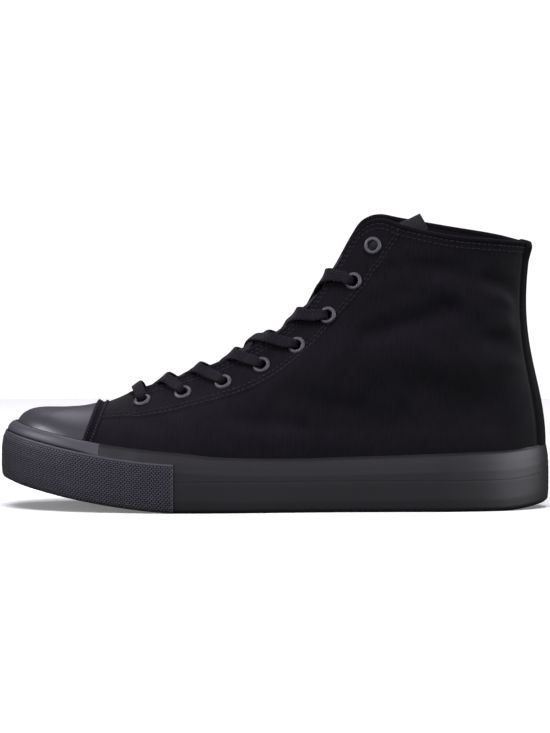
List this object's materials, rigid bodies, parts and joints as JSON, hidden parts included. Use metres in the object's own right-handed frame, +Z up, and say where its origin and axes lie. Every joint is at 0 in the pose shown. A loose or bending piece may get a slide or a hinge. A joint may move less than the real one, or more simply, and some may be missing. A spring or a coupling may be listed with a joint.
{
  "type": "high top sneaker",
  "caption": "Left canvas high top sneaker with a rubber cup sole, toe cap, textured toe bumper, eyelets and flat laces, standing empty.",
  "frame": {"origin": "centre of the bounding box's bottom face, on the floor under the sole", "axes": "+X to the toe, +Y to the shoe's outer (left) side, +Z up"},
  "size_m": [0.3003, 0.1089, 0.1612],
  "materials": {
    "sole_rubber": "smooth satin",
    "bumper_rubber": "matt with a fine brick texture",
    "cap_rubber": "smooth, soft shine",
    "canvas": "woven cotton canvas",
    "insole_cloth": "brushed cloth",
    "eyelet_paint": "satin paint",
    "lace": "flat woven cotton"
  },
  "bodies": {
    "root": {"outsole": "sole_rubber", "midsole": "sole_rubber", "toe_strip": "sole_rubber", "toe_bumper": "bumper_rubber", "toe_cap": "cap_rubber", "upper": "canvas", "tongue": "canvas", "insole": "insole_cloth", "eyelet_lateral_1": "eyelet_paint", "eyelet_medial_1": "eyelet_paint", "eyelet_lateral_2": "eyelet_paint", "eyelet_medial_2": "eyelet_paint", "eyelet_lateral_3": "eyelet_paint", "eyelet_medial_3": "eyelet_paint", "eyelet_lateral_4": "eyelet_paint", "eyelet_medial_4": "eyelet_paint", "eyelet_lateral_5": "eyelet_paint", "eyelet_medial_5": "eyelet_paint", "eyelet_lateral_6": "eyelet_paint", "eyelet_medial_6": "eyelet_paint", "eyelet_lateral_7": "eyelet_paint", "eyelet_medial_7": "eyelet_paint", "eyelet_lateral_8": "eyelet_paint", "eyelet_medial_8": "eyelet_paint", "lace_bar": "lace", "lace_cross_1": "lace", "lace_cross_2": "lace", "lace_cross_3": "lace", "lace_cross_4": "lace", "lace_cross_5": "lace", "lace_cross_6": "lace"}
  },
  "joints": []
}
